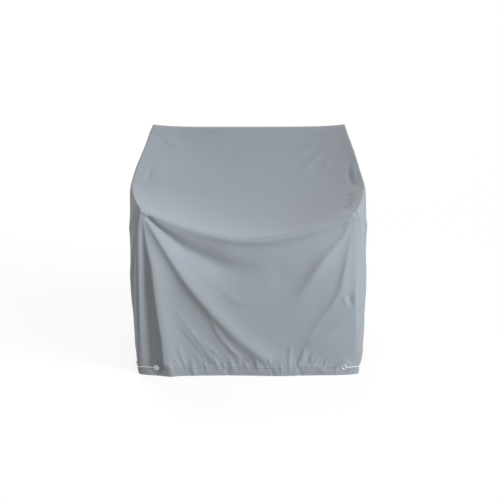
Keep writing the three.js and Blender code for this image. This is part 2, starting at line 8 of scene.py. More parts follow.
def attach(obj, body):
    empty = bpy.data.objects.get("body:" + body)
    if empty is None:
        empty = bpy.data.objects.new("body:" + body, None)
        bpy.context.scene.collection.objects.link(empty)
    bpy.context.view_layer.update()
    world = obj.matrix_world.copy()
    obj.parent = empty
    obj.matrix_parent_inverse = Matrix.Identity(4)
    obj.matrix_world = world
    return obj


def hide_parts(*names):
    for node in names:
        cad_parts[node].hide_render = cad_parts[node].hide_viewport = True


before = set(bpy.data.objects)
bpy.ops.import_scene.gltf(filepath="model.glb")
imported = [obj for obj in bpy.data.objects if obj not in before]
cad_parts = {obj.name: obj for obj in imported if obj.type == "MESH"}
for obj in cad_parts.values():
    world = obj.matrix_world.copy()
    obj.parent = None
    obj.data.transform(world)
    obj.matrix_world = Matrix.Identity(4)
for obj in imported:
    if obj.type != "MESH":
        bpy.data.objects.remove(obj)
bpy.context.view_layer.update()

# The centre panel is one length of grey-blue coated polyester, about 0.8 m wide at the hems and 0.87 m
# over the arms. It runs from the front hem up to the crest between the arms, over the seat and back,
# and down the rear to the hem. The front hangs in folds from the two arm ends.
MM = 0.001
DEPTH = 817
CLOTH = 2
SECTIONS = {
    name: np.array(values, float)
    for name, values in zip(
        ("leftX leftBack leftUp rightX rightBack rightUp midBack midUp "
         "squareBack squareLeft squareRight").split(),
        zip(
            (-384, 20, 0, 389, 24, 0, 5, 0, 12, 2, 2),
            (-385, 22, 28, 388, 25, 28, 8, 28, 12, 2, 2),
            (-388, 22, 60, 401, 30, 60, 12, 58, 12, 2, 2),
            (-388, 24, 205, 399, 42, 205, 19, 180, 12, 2, 2),
            (-386, 26, 385, 396, 50, 385, 22, 330, 12, 1.8, 1.8),
            (-383, 30, 530, 391, 46, 530, 30, 445, 10, 1.7, 1.7),
            (-374, 29, 577, 380, 34, 577, 31, 480, 5, 1.67, 1.67),
            (-370, 30, 590, 374, 30, 589, 39, 493, 3, 1.67, 1.7),
            (-376, 60, 595, 381, 60, 595, 68, 498, 3, 1.75, 2.6),
            (-390, 110, 599, 392, 110, 600, 118, 504, 3, 1.85, 3.4),
            (-413, 240, 604, 412, 240, 606, 248, 526, 3, 2, 3.8),
            (-430, 370, 616, 427, 370, 618, 384, 566, 3, 2.2, 3.8),
            (-423, 470, 660, 417, 470, 661, 482, 610, 3, 2.4, 3.2),
            (-404, 575, 710, 405, 575, 710, 586, 665, 3, 2.8, 3),
            (-388, 680, 757, 389, 680, 757, 690, 730, 3, 3.5, 3.5),
            (-379, 738, 782, 383, 738, 783, 742, 771, 3, 5, 5),
            (-382, 770, 776, 385, 770, 777, 774, 766, 3, 5, 5),
            (-389, 786, 715, 391, 786, 716, 791, 706, 3, 5, 5),
            (-398, 798, 400, 400, 798, 400, 806, 396, 6, 3, 3),
            (-400, 804, 100, 402, 804, 100, 812, 99, 8, 3, 3),
            (-399, 804, 0, 401, 804, 0, 811, 0, 8, 3, 3),
        ),
    )
}
APEX, TOP = 7, 15
FRONT_FOLDS = [
    ([(-353, 575), (-341, 540), (-306, 480), (-262, 410), (-219, 345), (-172, 282), (-118, 218), (-74, 172),
      (-30, 128), (16, 94), (50, 66)], (3, 16, 13), (12, 48, 40), (7, 23, 32)),
    ([(-346, 562), (-311, 528), (-267, 490), (-220, 452), (-152, 417), (-82, 389), (0, 375), (93, 371)],
     (-12, -24, -4), (10, 50, 50), (8, 48, 90)),
    ([(-362, 556), (-348, 455), (-335, 401), (-326, 312), (-315, 221), (-301, 128), (-295, 55)],
     (1, 17, 23), (6, 50, 76), (6, 17, 24)),
    ([(-366, 530), (-362, 451), (-361, 398), (-356, 308), (-354, 235), (-351, 125), (-346, 43)],
     (-1, -8, -11), (6, 14, 20), (8, 22, 24)),
    ([(346, 549), (331, 499), (292, 452), (251, 399), (196, 315), (146, 235)],
     (3, 13, 1), (12, 36, 40), (10, 26, 40)),
    ([(353, 545), (348, 455), (336, 380), (322, 310), (288, 243), (246, 187), (214, 130)],
     (1, 7, 3), (12, 30, 30), (8, 16, 20)),
    ([(366, 212), (318, 174), (275, 140), (232, 108), (196, 72)], (2, 5, 3), (16, 22, 16), (20, 26, 26)),
    ([(-245, 225), (-212, 175), (-180, 133), (-150, 88), (-128, 50)], (1, 4, 3), (14, 14, 14), (8, 9, 9)),
    ([(-137, 222), (-124, 185), (-91, 130), (-56, 94), (-30, 66)], (1, 3.5, 2), (10, 10, 10), (8, 8, 8)),
    ([(-126, 348), (-84, 301), (-43, 269), (27, 252), (96, 258)], (0, 2, 0), (20, 20, 20), (12, 12, 12)),
    ([(378, 90), (379, 180), (377, 317), (373, 445), (366, 566)], (2, 3, 2), (18, 18, 18), (18, 18, 18)),
    ([(105, -5), (110, 40), (118, 90)], (8, 6, 1), (90, 90, 90), (90, 90, 90)),
    ([(-272, -5), (-272, 25), (-274, 60)], (7, 5, 1), (26, 26, 26), (22, 22, 22)),
]
LIP_FOLDS = [
    ([(-351, 575), (-304, 558), (-235, 533), (-166, 514), (-98, 499), (-29, 489), (33, 485), (109, 492),
      (178, 508), (247, 530), (315, 558), (356, 577)], (0, 7, 6), (16, 18, 14), (7, 20, 20)),
]
SEAT_FOLDS = [
    ([(325, 690), (224, 630), (125, 545)], (1, 3.5, 1), (12, 16, 20), (12, 18, 24)),
    ([(331, 655), (257, 575), (190, 485), (172, 455)], (1, 3.5, 1), (10, 14, 14), (12, 20, 20)),
    ([(318, 600), (296, 530), (290, 490)], (0.5, 2.5, 0.5), (10, 12, 12), (10, 14, 14)),
    ([(-363, 705), (-261, 635), (-218, 608)], (1.5, 3, 0.5), (14, 18, 20), (12, 14, 16)),
    ([(-338, 620), (-328, 480), (-318, 330)], (0.5, 2, 0.5), (18, 18, 18), (18, 18, 18)),
    ([(330, 262), (346, 205), (358, 150)], (-2, -8, -3), (18, 22, 16), (16, 18, 14)),
]
REAR_FOLDS = [
    ([(-275, 0), (-280, 200), (-300, 480), (-330, 740)], (10, 8, 1), (60, 50, 40), (40, 35, 30)),
    ([(-95, 0), (-105, 420), (-120, 740)], (8, 5, 0), (60, 50, 40), (60, 50, 40)),
    ([(118, 0), (125, 380), (110, 740)], (9, 5, 0), (55, 45, 40), (60, 50, 40)),
    ([(280, 0), (284, 180), (296, 470), (330, 740)], (9, 8, 1), (44, 36, 30), (60, 50, 40)),
]
EDGE_FADE = 0.025
FRONT_FADE, SEAT_FADE, TOP_FADE, REAR_FADE = 2.2, 2, 0.5, 1.5
LINE_STEPS = 32
FOLD_REACH = 4
EYELET_UP = 28
FLAT_RADIUS, FLAT_FADE = 17, 30
HOLE_RADIUS = 7.6
FRONT_EYELETS = {"left": (-325, 9.5, -0.34), "right": (339, 12.3, 0.117)}


def smooth(t):
    t = np.clip(t, 0, 1)
    return t * t * (3 - 2 * t)


def hermite(start, start_slope, end, end_slope, t):
    """A cubic from one value to the next, with the given slope at each end."""
    t2, t3 = t * t, t * t * t
    return (start * (2 * t3 - 3 * t2 + 1) + start_slope * (t3 - 2 * t2 + t)
            + end * (3 * t2 - 2 * t3) + end_slope * (t3 - t2))


def along_rows(column, at):
    """A column of the sections at any place between its rows, counted from the front hem."""
    values = SECTIONS[column]
    last = len(values) - 1
    i = np.minimum(last - 1, np.floor(at).astype(int))
    t = at - i
    a, b, c, d = (values[np.clip(i + k, 0, last)] for k in (-1, 0, 1, 2))
    return hermite(b, (c - a) / 2, c, (d - b) / 2, t)


def smooth_run(points, steps, samples=12):
    """Equally spaced points on a centripetal Catmull-Rom curve through the given ones."""
    pts = np.array(points, float)
    pts = np.vstack([2 * pts[0] - pts[1], pts, 2 * pts[-1] - pts[-2]])
    run = []
    for p0, p1, p2, p3 in zip(pts, pts[1:], pts[2:], pts[3:]):
        pairs = ((p0, p1), (p1, p2), (p2, p3))
        d0, d1, d2 = (max(np.linalg.norm(b - a), 1e-6) ** 0.5 for a, b in pairs)
        m1 = ((p1 - p0) / d0 - (p2 - p0) / (d0 + d1) + (p2 - p1) / d1) * d1
        m2 = ((p2 - p1) / d1 - (p3 - p1) / (d1 + d2) + (p3 - p2) / d2) * d1
        t = (np.arange(samples) / samples)[:, None]
        run.append(hermite(p1, m1, p2, m2, t))
    run = np.vstack(run + [pts[-2:-1]])
    length = np.r_[0, np.cumsum(np.linalg.norm(np.diff(run, axis=0), axis=1))]
    spaced = np.linspace(0, length[-1], steps + 1)
    return np.column_stack([np.interp(spaced, length, run[:, k]) for k in range(run.shape[1])])


def three(values, at):
    """Start, middle and end values, blended smoothly along a line."""
    first = values[0] + (values[1] - values[0]) * smooth(at * 2)
    second = values[1] + (values[2] - values[1]) * smooth(at * 2 - 1)
    return np.where(at < 0.5, first, second)


def relief(folds, a, b, crisp=False):
    """The height of a set of folds over each point, from the nearest place on each line.

    A fold is its line, how far it stands out, and its widths on the left and on the right of the
    line as it runs, each at its start, middle and end. A crisp fold is tight along its line.
    """
    total = np.zeros(np.shape(a))
    every_a, every_b = a, b
    for line, rise, left, right in folds:
        run = smooth_run(line, LINE_STEPS)
        reach = max(left + right) * FOLD_REACH
        low, high = run.min(axis=0) - reach, run.max(axis=0) + reach
        near = (every_a > low[0]) & (every_a < high[0]) & (every_b > low[1]) & (every_b < high[1])
        a, b = every_a[near], every_b[near]
        nearest = np.full(np.shape(a), np.inf)
        at = np.zeros(np.shape(a))
        side = np.zeros(np.shape(a))
        for k, (p, q) in enumerate(zip(run, run[1:])):
            dx, dy = q - p
            span = dx * dx + dy * dy
            t = np.clip(((a - p[0]) * dx + (b - p[1]) * dy) / span, 0, 1)
            ox, oy = a - p[0] - dx * t, b - p[1] - dy * t
            gap = np.hypot(ox, oy)
            closer = gap < nearest
            nearest = np.where(closer, gap, nearest)
            at = np.where(closer, (k + t) / LINE_STEPS, at)
            across = (dx * oy - dy * ox) / (np.sqrt(span) * np.maximum(gap, 1e-9))
            side = np.where(closer, across, side)
        wide_left, wide_right = three(left, at), three(right, at)
        width = (wide_left + wide_right) / 2 + side * (wide_left - wide_right) / 2
        away = (nearest / width) ** 2
        fall = np.exp(1 - np.sqrt(1 + 4 * away)) if crisp else np.exp(-away)
        total[near] += three(rise, at) * fall
    return total


def flatten(eyelets, along, up, value):
    """The cloth lies flat where an eyelet clamps it."""
    for place, out, tilt in eyelets:
        distance = np.hypot(along - place, up - EYELET_UP)
        weight = 1 - smooth((distance - FLAT_RADIUS) / (FLAT_FADE - FLAT_RADIUS))
        value = value + (out + tilt * (along - place) - value) * weight
    return value


# Small creases: stress folds at the arm ends, short dents, the fan of wrinkles over the left of the
# hem, the pleat that stands out at the left corner, and the slack cloth on the arms.
FRONT_CREASES = [
    ([(-340, 572), (-280, 560), (-220, 540)], (0, 2, 0), (8, 9, 9), (5, 5, 5)),
    ([(330, 300), (338, 268), (352, 240)], (0, 3, 0), (7, 8, 7), (7, 8, 7)),
    ([(352, 300), (358, 262), (366, 236)], (0, -3, 0), (6, 6, 6), (6, 6, 6)),
    ([(372, 318), (374, 280), (377, 245)], (0, 3, 0), (6, 6, 6), (6, 6, 6)),
    ([(-252, 207), (-222, 162), (-191, 122), (-160, 76)], (0.5, 2.5, 1), (9, 9, 8), (6, 7, 6)),
    ([(-165, 148), (-147, 110), (-111, 77), (-100, 54)], (0.5, 2.5, 1), (9, 9, 8), (6, 7, 6)),
    ([(-93, 120), (-57, 87), (-30, 54)], (0.5, 2.5, 1), (8, 8, 8), (6, 6, 6)),
    ([(-250, 119), (-240, 89), (-228, 56)], (0.5, 2, 1), (8, 8, 7), (6, 6, 6)),
    ([(-207, 36), (-189, 2)], (1, 2.5, 2.5), (8, 8, 8), (7, 7, 7)),
    ([(-80, 34), (-69, -2)], (-1, -3, -2), (6, 6, 6), (6, 6, 6)),
    ([(47, 48), (67, 8)], (-1, -2.5, -1), (6, 6, 6), (6, 6, 6)),
    ([(76, 36), (90, -3)], (-1, -2.5, -2), (6, 6, 6), (6, 6, 6)),
    ([(169, 58), (183, 2)], (-1, -3, -2), (7, 7, 7), (6, 6, 6)),
    ([(204, 110), (191, 68), (180, 34)], (0.5, 3, 1.5), (7, 8, 8), (6, 7, 7)),
    ([(221, 84), (209, 58), (219, 36)], (-0.5, -2.5, -1), (6, 6, 6), (6, 6, 6)),
    ([(146, 118), (148, 80), (150, 48)], (0.5, 2.5, 1), (7, 7, 7), (7, 7, 7)),
    ([(230, 30), (258, 18), (290, 9)], (0.5, 2.5, 0.5), (9, 9, 9), (8, 8, 8)),
]
CORNER_PLEAT = [
    ([(-372, 580), (-381, 491), (-381, 384), (-380, 240), (-377, 130), (-372, 62)],
     (1, 10, 1), (10, 18, 14), (12, 14, 10)),
]
SEAT_CREASES = [
    ([(386, 525), (383, 455), (390, 398), (402, 365)], (-1, -10, -1), (7, 8, 7), (6, 7, 6)),
    ([(399, 500), (398, 450), (404, 400)], (0, 4, 0), (7, 7, 7), (7, 7, 7)),
    ([(360, 335), (378, 318), (400, 312)], (-1, -9, -1), (9, 9, 8), (8, 8, 8)),
    ([(366, 372), (388, 356), (410, 350)], (0.5, 4, 0.5), (9, 9, 9), (8, 8, 8)),
    ([(350, 286), (380, 282), (404, 284)], (0.5, 6, 0.5), (9, 9, 9), (8, 8, 8)),
    ([(344, 262), (378, 258), (404, 262)], (-0.5, -6, -0.5), (8, 8, 8), (8, 8, 8)),
    ([(346, 232), (377, 230), (402, 234)], (0.5, 6, 0.5), (8, 8, 8), (7, 7, 7)),
    ([(336, 205), (368, 206), (396, 208)], (-0.5, -7, -0.5), (10, 10, 8), (8, 8, 8)),
    ([(352, 165), (376, 160), (394, 162)], (0.5, 5, 0.5), (9, 9, 9), (8, 8, 8)),
    ([(-368, 520), (-376, 440), (-392, 372)], (0, -4, 0), (8, 8, 8), (8, 8, 8)),
    ([(-330, 560), (-345, 500), (-352, 440)], (0, 2, 0), (9, 9, 9), (9, 9, 9)),
]
PUCKERS = 36


def hem_puckers():
    """The short folds that rise from the gathered hem, uneven in spacing, height and lean."""
    folds = []
    for k in range(PUCKERS):
        foot = -300 + 17.2 * k + 6 * math.sin(2.4 * k)
        tall = 50 + 22 * math.sin(1.7 * k + 0.8)
        lean = -0.5 + 0.85 * float(smooth((foot + 40) / 300)) + 0.12 * math.sin(3.1 * k)
        rise = 1.9 + 1.1 * math.sin(2.9 * k + 1)
        wide = 5.2 + 1.3 * math.sin(1.3 * k)
        low = 17 + 7 * math.sin(2.2 * k + 3)
        line = [(foot, low), (foot + lean * tall * 0.4, low + tall * 0.5), (foot + lean * tall, low + tall)]
        folds.append((line, (rise * 0.4, rise, 0), (wide, wide, wide), (wide * 0.8, wide * 0.9, wide)))
    return folds


def soft_waver(a, b):
    """The cloth's own slight unevenness, half a millimetre or so."""
    return (0.5 * np.sin(a / 71 + 1.9 * np.sin(b / 93)) + 0.35 * np.sin(b / 53 + 1.3 * np.sin(a / 47) + 2)
            + 0.2 * np.sin((a + b) / 27 + np.sin((a - b) / 39) * 1.7))


def centre_point(row, u):
    """Points of the centre panel, at any place along it and across it from the left seam."""
    row, u = np.broadcast_arrays(np.asarray(row, float), np.asarray(u, float))
    read = {name: along_rows(name, row) for name in SECTIONS}
    side = np.abs(2 * u - 1)

    def mix(what, middle, square):
        left, right = read["left" + what], read["right" + what]
        swell = read[middle] - (left + right) / 2
        return left + (right - left) * u + swell * (1 - side ** square)

    x = read["leftX"] + (read["rightX"] - read["leftX"]) * u
    back = mix("Back", "midBack", read["squareBack"])
    up = mix("Up", "midUp", np.where(u < 0.5, read["squareLeft"], read["squareRight"]))
    fade = smooth(np.minimum(u, 1 - u) / EDGE_FADE)
    low = smooth((APEX + 1 - row) / FRONT_FADE)
    shaped = back - (relief(FRONT_FOLDS, x, up, True) + relief(LIP_FOLDS, x, up)) * low * fade
    shaped -= (relief(FRONT_CREASES + hem_puckers(), x, up) + soft_waver(x, up)) * low * fade
    shaped -= relief(CORNER_PLEAT, x, up) * low
    shaped = flatten(FRONT_EYELETS.values(), x, up, shaped)
    front = row < APEX + 1
    inside = smooth((row - APEX) / SEAT_FADE) * smooth((TOP - row) / TOP_FADE)
    lifted = up + relief(SEAT_FOLDS, x, back) * fade * inside
    lifted += (relief(SEAT_CREASES, x, back, True) + soft_waver(x, back)) * fade * inside
    rear = back + relief(REAR_FOLDS, x, up) * fade * smooth((row - TOP - 1) / REAR_FADE)
    return np.stack([x, np.where(front, shaped, rear), lifted], axis=-1)


# How many rows of the mesh lie between neighbouring sections, and how many columns it has there.
CENTRE_STEPS = [10, 11, 33, 34, 30, 12, 7, 8, 8, 14, 14, 12, 12, 12, 8, 8, 6, 16, 16, 8]
CENTRE_COLUMNS = [280, 280, 210, 170, 170, 170, 170, 150, 120, 110,
                  110, 110, 110, 110, 110, 90, 70, 70, 70, 70]
SEAM_CROWD = 0.055


def spread_columns(count):
    """Columns from seam to seam, closer towards the seams."""
    t = np.linspace(0, 1, count + 1)
    return t - SEAM_CROWD * np.sin(2 * math.pi * t)


def bridge(faces, lower, upper, points, flipped):
    """Joins two rows of points with quads, or with triangles where their counts differ."""
    if len(lower) == len(upper):
        quads = zip(lower, lower[1:], upper[1:], upper)
        faces.extend(quad[::-1] if flipped else quad for quad in quads)
        return
    i = j = 0
    while i < len(lower) - 1 or j < len(upper) - 1:
        low_cut = upper_cut = math.inf
        if i < len(lower) - 1:
            low_cut = np.sum((points[lower[i + 1]] - points[upper[j]]) ** 2)
        if j < len(upper) - 1:
            upper_cut = np.sum((points[lower[i]] - points[upper[j + 1]]) ** 2)
        if low_cut <= upper_cut:
            face = (lower[i], lower[i + 1], upper[j])
            i += 1
        else:
            face = (lower[i], upper[j + 1], upper[j])
            j += 1
        faces.append(face[::-1] if flipped else face)


def point_normals(points, faces):
    normals = np.zeros_like(points)
    for size in (3, 4):
        some = np.array([face for face in faces if len(face) == size])
        if not len(some):
            continue
        cross = np.cross(points[some[:, 2]] - points[some[:, 0]], points[some[:, -1]] - points[some[:, 1]])
        for k in range(size):
            np.add.at(normals, some[:, k], cross)
    return normals / np.maximum(np.linalg.norm(normals, axis=1, keepdims=True), 1e-12)


def punched(faces, points, spots):
    """The faces that are left where each eyelet's hole is punched through the cloth."""
    middles = np.array([points[list(face)].mean(axis=0) for face in faces])
    gaps = np.min([np.linalg.norm(middles - spot, axis=1) for spot in spots], axis=0)
    return [face for face, gap in zip(faces, gaps) if gap > HOLE_RADIUS]


def cloth_object(name, points, faces, normals, uvs, material):
    """A closed sheet: the outer face, the inner face one thickness inside it, and the edge between."""
    inner = points - normals * CLOTH
    count = len(points)
    edges = {}
    for face in faces:
        for a, b in zip(face, face[1:] + face[:1]):
            edges[(a, b)] = True
    rim = [(b, a, a + count, b + count) for a, b in edges if (b, a) not in edges]
    back = [tuple(i + count for i in face[::-1]) for face in faces]
    placed = np.vstack([points, inner])
    placed[:, 1] -= DEPTH / 2
    placed[:, 2] = np.maximum(placed[:, 2], 0)
    mesh = bpy.data.meshes.new(name)
    mesh.from_pydata((placed * MM).tolist(), [], list(faces) + back + rim)
    layer = mesh.uv_layers.new(name="cloth")
    corner = np.empty(len(mesh.loops), int)
    mesh.loops.foreach_get("vertex_index", corner)
    layer.data.foreach_set("uv", (np.vstack([uvs, uvs])[corner] * MM).ravel())
    mesh.polygons.foreach_set("use_smooth", [True] * (len(faces) * 2) + [False] * len(rim))
    mesh.materials.append(material)
    mesh.validate()
    obj = bpy.data.objects.new(name, mesh)
    bpy.context.scene.collection.objects.link(obj)
    return obj


def stacked_rows(rows):
    """All the points of some rows, one after another, and the numbers of each row's points."""
    points = np.vstack(rows)
    starts = np.r_[0, np.cumsum([len(row) for row in rows])]
    numbers = [list(range(a, b)) for a, b in zip(starts, starts[1:])]
    return points, numbers


centre_places = np.concatenate(
    [[0.0]] + [k + (np.arange(steps) + 1) / steps for k, steps in enumerate(CENTRE_STEPS)])
centre_counts = [CENTRE_COLUMNS[0], *np.repeat(CENTRE_COLUMNS, CENTRE_STEPS)]
centre_columns = [spread_columns(count) for count in centre_counts]
centre_starts = np.cumsum([len(columns) for columns in centre_columns])[:-1]
row_places = np.repeat(centre_places, [len(columns) for columns in centre_columns])
centre_rows = np.split(centre_point(row_places, np.concatenate(centre_columns)), centre_starts)
centre_points, centre_numbers = stacked_rows(centre_rows)
centre_faces = []
for lower, upper in zip(centre_numbers, centre_numbers[1:]):
    bridge(centre_faces, lower, upper, centre_points, False)

walked = 0.0
centre_uvs = []
for k, row in enumerate(centre_rows):
    if k:
        before = centre_rows[k - 1]
        walked += np.linalg.norm(row[len(row) // 2] - before[len(before) // 2])
    centre_uvs.append(np.column_stack([row[:, 0], np.full(len(row), walked)]))
centre_uvs = np.vstack(centre_uvs)


class Socket:
    """A value in a material's node tree. Python's operators on it add the Math nodes."""

    def __init__(self, maker, socket):
        self.maker, self.socket = maker, socket

    def _math(self, operation, first, second=None):
        values = {0: first} if second is None else {0: first, 1: second}
        return self.maker.node("ShaderNodeMath", {"operation": operation}, values)

    def __add__(self, other):
        return self._math("ADD", self, other)

    def __radd__(self, other):
        return self._math("ADD", other, self)

    def __sub__(self, other):
        return self._math("SUBTRACT", self, other)

    def __rsub__(self, other):
        return self._math("SUBTRACT", other, self)

    def __mul__(self, other):
        return self._math("MULTIPLY", self, other)

    def __rmul__(self, other):
        return self._math("MULTIPLY", other, self)

    def __truediv__(self, other):
        return self._math("DIVIDE", self, other)

    def sine(self):
        return self._math("SINE", self)

    def size(self):
        return self._math("ABSOLUTE", self)

    def most(self, other):
        return self._math("MAXIMUM", self, other)


class Material:
    """A node material: one method adds any node and gives back one of its outputs."""

    def __init__(self, name):
        self.data = bpy.data.materials.new(name)
        self.data.use_nodes = True
        self.tree = self.data.node_tree
        self.shader = self.tree.nodes["Principled BSDF"]

    def node(self, kind, settings=None, values=None, output=0):
        made = self.tree.nodes.new(kind)
        for key, value in (settings or {}).items():
            setattr(made, key, value)
        for key, value in (values or {}).items():
            self.put(made.inputs[key], value)
        return Socket(self, made.outputs[output])

    def put(self, target, value):
        if isinstance(value, Socket):
            self.tree.links.new(value.socket, target)
        else:
            target.default_value = value

    def set(self, **values):
        for key, value in values.items():
            self.put(self.shader.inputs[key.replace("_", " ")], value)

    def mix(self, factor, first, second):
        return self.node("ShaderNodeMix", {"data_type": "RGBA"}, {0: factor, 6: first, 7: second}, 2)


CLOTH_TONE = (0.340, 0.382, 0.428)
THREAD_PITCH = 0.75
HEM_STITCH, HEM_EDGE = 0.0265, 0.010
STITCH_WIDTH = 0.0022


def cloth_material(name, tone):
    """Plain woven polyester: fine square weave, slightly uneven dye, a soft dull shine."""
    cloth = Material(name)
    place = cloth.node("ShaderNodeUVMap", {"uv_map": "cloth"})
    across = cloth.node("ShaderNodeSeparateXYZ", values={0: place}, output=0)
    along = cloth.node("ShaderNodeSeparateXYZ", values={0: place}, output=1)
    thread = 2 * math.pi / (THREAD_PITCH * MM)
    warp = (across * thread).sine()
    weft = (along * thread).sine()
    weave = (warp * weft) * 0.5 + 0.5
    body = cloth.node("ShaderNodeTexCoord", output=3)
    dye = cloth.node("ShaderNodeTexNoise",
                     values={"Vector": body, "Scale": 9.0, "Detail": 4.0, "Roughness": 0.6})
    speck = cloth.node("ShaderNodeTexNoise", values={"Vector": body, "Scale": 420.0, "Detail": 2.0})
    height = cloth.node("ShaderNodeSeparateXYZ", values={0: body}, output=2)
    stitched = (1 - (height - HEM_STITCH).size() / STITCH_WIDTH).most(0.0)
    hem_edge = (1 - (height - HEM_EDGE).size() / STITCH_WIDTH).most(0.0)
    shade = dye * 0.55 + speck * 0.25 + weave * 0.2 - stitched * 0.9 - hem_edge * 0.5
    dark = tuple(c * 0.90 for c in tone) + (1,)
    light = tuple(c * 1.08 for c in tone) + (1,)
    cloth.set(Base_Color=cloth.mix(shade, dark, light))
    cloth.set(Roughness=0.66 + 0.16 * dye)
    crumple = cloth.node("ShaderNodeTexNoise",
                         values={"Vector": body, "Scale": 46.0, "Detail": 3.0, "Roughness": 0.5})
    raised = weave * 0.00006 + crumple * 0.0006 - stitched * 0.0009 - hem_edge * 0.0005
    bump = cloth.node("ShaderNodeBump", values={"Strength": 0.55, "Distance": 1.0, "Height": raised})
    cloth.set(Normal=bump)
    cloth.set(Sheen_Weight=0.12, Sheen_Roughness=0.5)
    return cloth.data


cover_cloth = cloth_material("cover_cloth", CLOTH_TONE)
centre_normals = point_normals(centre_points, centre_faces)
front_holes = [(x, back, EYELET_UP) for x, back, tilt in FRONT_EYELETS.values()]
centre_left = punched(centre_faces, centre_points, front_holes)
centre = cloth_object("centre_cloth", centre_points, centre_left, centre_normals, centre_uvs, cover_cloth)
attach(centre, "root")
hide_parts("centre_panel")

# The two side panels are cut to the chair's outline, from the same cloth, and sewn to the centre
# panel along the front corner, the arm and back edge, and the rear corner. They swell outwards
# between the corners and hang in soft folds from the arm.
SIDE_BULGE = np.array([
    (0, 0, 0), (0.1, 0, 2), (0.2, 0, 3), (0.28, 0, 2), (0.36, 4, 3), (0.45, 6, 5), (0.55, 7.6, 4.4),
    (0.68, 5.4, 5.6), (0.77, 4.4, 4), (0.85, 2, 2), (0.91, 2, 1), (0.96, 3, 1), (1, 0, 0),
], float)
HEM_BULGE = {"left": 30, "right": 21}
BULGE_POWER = 0.65
SIDE_FOLDS = [
    ([(36, 560), (90, 470), (150, 330), (190, 160), (205, 0)], (1, 6, 2), (30, 50, 40), (16, 34, 24)),
    ([(40, 566), (70, 440), (112, 300), (128, 130), (135, 40)], (0, -5, -1), (14, 22, 22), (14, 22, 22)),
    ([(60, 570), (170, 520), (290, 470), (420, 440)], (1, 5, 1), (16, 30, 34), (12, 20, 24)),
    ([(520, 30), (550, 200), (610, 380), (675, 560), (730, 740)], (4, 9, 2), (50, 50, 40), (36, 36, 26)),
    ([(400, 60), (430, 220), (500, 380), (620, 540)], (1, -6, -1), (40, 44, 30), (40, 44, 30)),
    ([(330, 420), (430, 470), (560, 560), (690, 700)], (1, 6, 2), (34, 40, 26), (24, 26, 20)),
    ([(300, 20), (290, 160), (270, 300)], (3, 4, 0), (34, 34, 34), (30, 30, 30)),
]
SIDE_EYELETS = {"left": (-397, 76, -0.156), "right": (396, 67, 0.126)}
SIDE_COLUMNS = 130
SIDE_ROWS = 130


def side_surface(side, sign, edge):
    """Rows of points of a side panel, from the hem up, filling in between its four edges."""
    front, arm, rear = edge
    arm_length = np.r_[0, np.cumsum(np.linalg.norm(np.diff(arm, axis=0), axis=1))]
    s = np.linspace(0, 1, SIDE_COLUMNS + 1)
    arm_at = np.column_stack([np.interp(s, arm_length / arm_length[-1], arm[:, k]) for k in range(3)])
    arm_at[0], arm_at[-1] = arm[0], arm[-1]
    swell = np.sin(math.pi * s) ** BULGE_POWER
    hem = front[0] + (rear[0] - front[0]) * s[:, None]
    hem[:, 0] += sign * HEM_BULGE[side] * swell
    across = s[:, None]
    t = ((front[:, 2] / front[-1, 2] + rear[:, 2] / rear[-1, 2]) / 2)[:, None, None]
    point = hem * (1 - t) + arm_at * t + front[:, None] * (1 - across) + rear[:, None] * across
    low = front[0] * (1 - across) + rear[0] * across
    high = arm[0] * (1 - across) + arm[-1] * across
    point -= low * (1 - t) + high * t
    t = t[:, :, 0]
    bulge = np.interp(t, SIDE_BULGE[:, 0], SIDE_BULGE[:, 1 if side == "left" else 2]) * swell
    fade = smooth(np.minimum(np.minimum(s, 1 - s), 1 - t) / EDGE_FADE)
    along, up = point[..., 1], point[..., 2]
    out = sign * point[..., 0] + bulge + (relief(SIDE_FOLDS, along, up) + soft_waver(along, up)) * fade
    x, place, tilt = SIDE_EYELETS[side]
    point[..., 0] = flatten([(place, x, tilt)], along, up, sign * out)
    return list(point)


def evenly(points):
    """The same line as evenly spaced points, one for each row of a side panel."""
    length = np.r_[0, np.cumsum(np.linalg.norm(np.diff(points, axis=0), axis=1))]
    levels = np.linspace(0, length[-1], SIDE_ROWS + 1)
    return np.column_stack([np.interp(levels, length, points[:, k]) for k in range(3)])


apex_row = sum(CENTRE_STEPS[:APEX])
top_row = sum(CENTRE_STEPS[:TOP])
for side, sign, end in (("left", -1, 0), ("right", 1, -1)):
    seam = np.array([row[end] for row in centre_rows])
    front, arm, rear = seam[:apex_row + 1], seam[apex_row:top_row + 1], seam[top_row:][::-1]
    rows = side_surface(side, sign, (evenly(front), arm, evenly(rear)))
    points, numbers = stacked_rows(rows)
    faces = []
    for lower, upper in zip(numbers, numbers[1:]):
        bridge(faces, lower, upper, points, side == "left")
    normals = point_normals(points, faces)
    x, back, tilt = SIDE_EYELETS[side]
    faces = punched(faces, points, [(x, back, EYELET_UP)])
    panel = cloth_object(f"side_cloth_{side}", points, faces, normals, points[:, 1:], cover_cloth)
    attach(panel, "root")
    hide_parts(f"side_panel_{side}")

# Four rolled metal eyelets are pressed through the doubled hem, one on each side of each front
# corner: a barrel through the cloth, with a domed rim outside and a flat washer inside.
EYELET_SIDES = 48
EYELET_PROFILE = [
    (5.2, -1.5), (5.5, -2.0), (6.6, -2.3), (8.8, -2.2), (10.0, -1.8), (10.2, -1.35), (6.4, -1.3),
    (6.4, 1.3), (10.2, 1.35), (10.05, 1.75), (9.2, 2.15), (8.0, 2.38), (6.8, 2.4), (5.8, 2.15),
    (5.3, 1.7), (5.2, 1.2),
]
metal = Material("eyelet_metal")
brushed = metal.node("ShaderNodeTexNoise", values={"Scale": 900.0, "Detail": 3.0})
metal.set(Base_Color=metal.mix(brushed, (0.52, 0.53, 0.54, 1), (0.74, 0.75, 0.76, 1)))
metal.set(Roughness=0.22 + 0.2 * brushed, Metallic=1.0)


